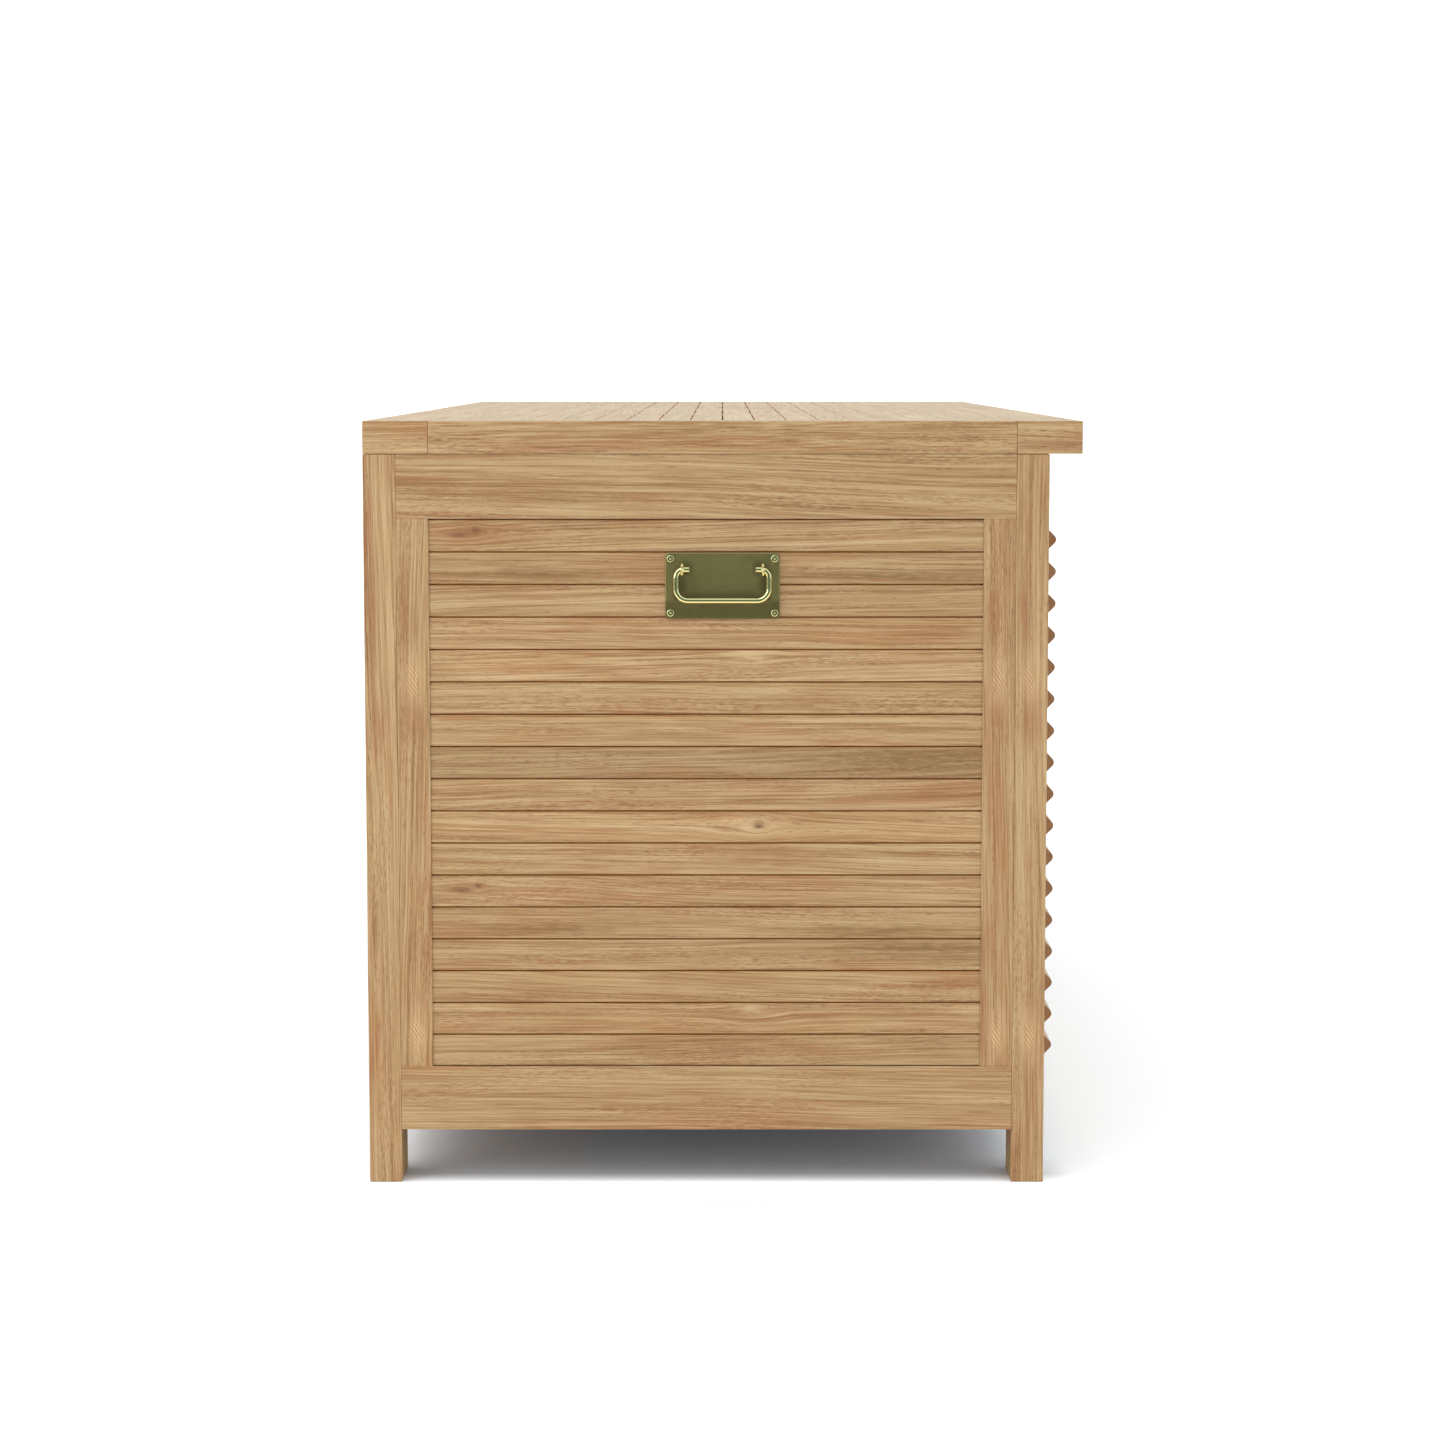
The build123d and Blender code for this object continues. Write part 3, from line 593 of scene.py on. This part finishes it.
def lathe(name, profile, centres, toward):
    """Round bodies turned about X at each centre; profile is (out, radius) from the rim up."""
    steps = 24
    tip_rise = 0.05 * MM
    shape = bmesh.new()
    for centre in centres:
        rings = []
        for out, radius in profile:
            ring = []
            for i in range(steps):
                turn = 2 * pi * i / steps
                ring.append(shape.verts.new((centre.x + toward * out, centre.y + radius * cos(turn),
                                             centre.z + radius * sin(turn))))
            rings.append(ring)
        tip = shape.verts.new((centre.x + toward * (profile[-1][0] + tip_rise), centre.y, centre.z))
        base = shape.verts.new((centre.x + toward * profile[0][0], centre.y, centre.z))
        for lower, upper in zip(rings, rings[1:]):
            for i in range(steps):
                j = (i + 1) % steps
                shape.faces.new((lower[i], lower[j], upper[j], upper[i]))
        for i in range(steps):
            j = (i + 1) % steps
            shape.faces.new((rings[-1][i], rings[-1][j], tip))
            shape.faces.new((rings[0][j], rings[0][i], base))
    bmesh.ops.recalc_face_normals(shape, faces=shape.faces)
    mesh = bpy.data.meshes.new(name)
    shape.to_mesh(mesh)
    shape.free()
    for polygon in mesh.polygons:
        polygon.use_smooth = True
    piece = bpy.data.objects.new(name, mesh)
    bpy.context.scene.collection.objects.link(piece)
    return piece


# a small dome stands in the hollow crown of each handle screw
SCREW_ASIDE = 47.9 * MM                    # from the middle of the plate
SCREW_ALOFT = 25 * MM
SCREW_HEIGHT = 1.6 * MM                    # in front of the plate
CROWN_DEPTH = 0.7 * MM
dome_profile = [(-0.05 * MM, 0.95 * MM), (0.12 * MM, 0.90 * MM),
                (0.30 * MM, 0.70 * MM), (0.42 * MM, 0.40 * MM)]
plate_middle = (plate_low + plate_high) / 2
for name, toward, face_x in (("left", -1, plate_low.x), ("right", 1, -plate_low.x)):
    crown_x = face_x + toward * (SCREW_HEIGHT - CROWN_DEPTH)
    spots = []
    for aside in (-SCREW_ASIDE, SCREW_ASIDE):
        for aloft in (-SCREW_ALOFT, SCREW_ALOFT):
            spots.append(Vector((crown_x, plate_middle.y + aside, plate_middle.z + aloft)))
    domes = lathe("handle_screw_domes_" + name, dome_profile, spots, toward)
    domes.data.materials.append(POLISHED)
    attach(domes, "box")


# -------------------------------------------------------------- studio and camera

# a pale floor; what shines sees it darken towards the camera
FLOOR_REACH = 40.0
floor_mesh = bpy.data.meshes.new("floor")
corners = [(x * FLOOR_REACH, y * FLOOR_REACH, 0) for x, y in ((-1, -1), (1, -1), (1, 1), (-1, 1))]
floor_mesh.from_pydata(corners, [], [(0, 1, 2, 3)])
floor = bpy.data.objects.new("floor", floor_mesh)
bpy.context.scene.collection.objects.link(floor)
paper = bpy.data.materials.new("paper")
paper.use_nodes = True
paper.node_tree.nodes.clear()
sheet = Graph(paper.node_tree)
shiny = sheet.node("ShaderNodeLightPath").outputs["Is Glossy Ray"]
on_floor = sheet.split(sheet.node("ShaderNodeTexCoord").outputs["Object"])
ahead = on_floor[0]
across = on_floor[1]
mirrored = sheet.blend(sheet.spread(ahead, -1.25, -2.1), (0.94, 0.85, 0.62), (0.07, 0.105, 0.075))
matte = sheet.node("ShaderNodeBsdfPrincipled")
matte.inputs["Roughness"].default_value = 0.5
matte.inputs["Specular IOR Level"].default_value = 0.3

# under the near end the paper is painted cooler and darker, painted shade against the warm light from the
# wood, and it glows a little there, before the foot and along the front, painted light that lifts the
# shade
near_end = -lid_end
beside = sheet.math("ABSOLUTE", across)
further = sheet.spread(ahead, near_end + 35 * MM, near_end + 105 * MM)
open_side = sheet.mul(further, sheet.spread(across, 0.10, 0.28))
under = sheet.mul(sheet.spread(beside, 0.335, 0.305), sheet.sub(1.0, open_side))
shaded = sheet.mul(under, sheet.spread(ahead, near_end + 12 * MM, near_end + 34 * MM))
# painted shade: darker, cooler paper under the near end
shade = sheet.blend(further, (0.585, 0.635, 0.690), (0.850, 0.905, 0.965))
white = sheet.blend(shaded, (0.905, 0.94, 0.985), shade)
before = sheet.mul(sheet.spread(ahead, near_end - 90 * MM, near_end),
                   sheet.spread(ahead, near_end + 10 * MM, near_end))
before = sheet.mul(before, sheet.spread(beside, 0.34, 0.25))
# painted light: the paper glows along the front, before the near foot and under the near end, lifting the
# shade there
glow = sheet.blend(sheet.spread(across, -0.32, -0.37), (0.0, 0.0, 0.0), (0.045, 0.045, 0.045))
glow = sheet.blend(before, glow, (0.22, 0.22, 0.22))
glow = sheet.blend(sheet.mul(further, under), glow, (0.0, 0.012, 0.026))
sheet.feed(matte.inputs["Emission Color"], glow)
matte.inputs["Emission Strength"].default_value = 1.0
sheet.feed(matte.inputs["Base Color"], sheet.blend(shiny, white, mirrored))
sheet.feed(sheet.node("ShaderNodeOutputMaterial").inputs["Surface"], matte.outputs[0])
floor_mesh.materials.append(paper)

# a white room, brightest at the horizon; what shines sees a darker wall behind the camera
# and warm light from below
ROOM_LIGHT = 1.49
world = bpy.data.worlds.new("studio")
bpy.context.scene.world = world
world.use_nodes = True
world.node_tree.nodes.clear()
room = Graph(world.node_tree)
bearing = room.split(room.node("ShaderNodeTexCoord").outputs["Generated"])
height = room.spread(bearing[2], 0.0, 0.8, 1.10, 0.92)
wall = room.spread(bearing[0], -0.15, -0.80, 1.0, 0.12, smooth=True)
shiny = room.node("ShaderNodeLightPath").outputs["Is Glossy Ray"]
seen = room.add(room.mul(shiny, wall), room.sub(1.0, shiny))
background = room.node("ShaderNodeBackground")
tint = room.blend(room.spread(bearing[2], -0.15, 0.15), (1.0, 0.90, 0.68), (0.93, 1.0, 0.94))
tint = room.blend(room.spread(wall, 0.9, 0.2), tint, (0.66, 1.0, 0.72))
room.feed(background.inputs["Color"], room.blend(shiny, (1.0, 1.0, 1.0), tint))
room.feed(background.inputs["Strength"], room.mul(room.mul(height, seen), ROOM_LIGHT))
room.feed(room.node("ShaderNodeOutputWorld").inputs["Surface"], background.outputs[0])


def softbox(name, place, target, size, watts):
    """A soft square lamp aimed at a point."""
    lamp = bpy.data.lights.new(name, "AREA")
    lamp.size = size
    lamp.energy = watts
    holder = bpy.data.objects.new(name, lamp)
    holder.location = place
    holder.rotation_euler = (Vector(target) - Vector(place)).to_track_quat("-Z", "Y").to_euler()
    bpy.context.scene.collection.objects.link(holder)


softbox("key", (-2.2, 2.6, 4.2), (0, 0, 0.3), 3.4, 50)
softbox("side", (-2.0, 1.9, 1.0), (-lid_end, 0.1, 0.4), 1.0, 8)

CAMERA_BACK = 3.1405                       # in front of the near end of the lid
CAMERA_HEIGHT = 0.7629
CAMERA_PITCH = 6.004                       # degrees down
CAMERA_LENS = 85.2
camera_data = bpy.data.cameras.new("camera")
camera_data.lens = CAMERA_LENS
camera_data.sensor_width = 36.0
camera = bpy.data.objects.new("camera", camera_data)
camera.location = (-lid_end - CAMERA_BACK, lid_middle, CAMERA_HEIGHT)
camera.rotation_euler = (radians(90 - CAMERA_PITCH), 0, radians(-90))
bpy.context.scene.collection.objects.link(camera)
bpy.context.scene.camera = camera
bpy.context.scene.view_settings.view_transform = "Standard"
